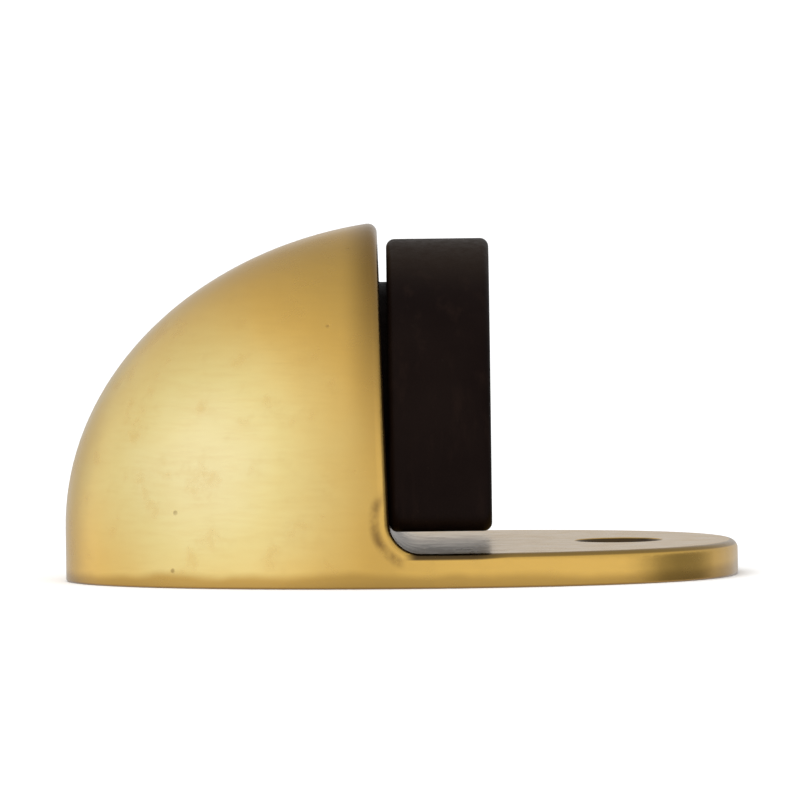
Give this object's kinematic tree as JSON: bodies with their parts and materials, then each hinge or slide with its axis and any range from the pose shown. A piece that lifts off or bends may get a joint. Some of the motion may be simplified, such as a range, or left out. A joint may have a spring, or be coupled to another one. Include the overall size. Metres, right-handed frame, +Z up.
{
  "type": "floor door stop",
  "caption": "Shielded floor door stop: a polished brass quarter-dome hood on an oval plate with a screw hole, and an upright rubber buffer.",
  "frame": {"origin": "on the floor, under the middle of the overall box", "axes": "+X from the hood towards the plate's tip, which is also the way the buffer faces; +Y to the left seen from the hood; +Z up, out of the floor. Symmetric about the XZ plane."},
  "size_m": [0.066, 0.044, 0.0347],
  "materials": {
    "polished_brass": "polished and lacquered, with fine polishing lines and a few casting pits",
    "black_rubber": "matt moulded rubber",
    "zinc_plated_steel": "bright zinc plate"
  },
  "bodies": {
    "root": {"shield_base": "polished_brass", "rubber_buffer": "black_rubber", "buffer_screw": "zinc_plated_steel", "front_washer": "zinc_plated_steel", "back_washer": "zinc_plated_steel", "spring_washer": "zinc_plated_steel", "hex_nut": "zinc_plated_steel"}
  },
  "joints": []
}
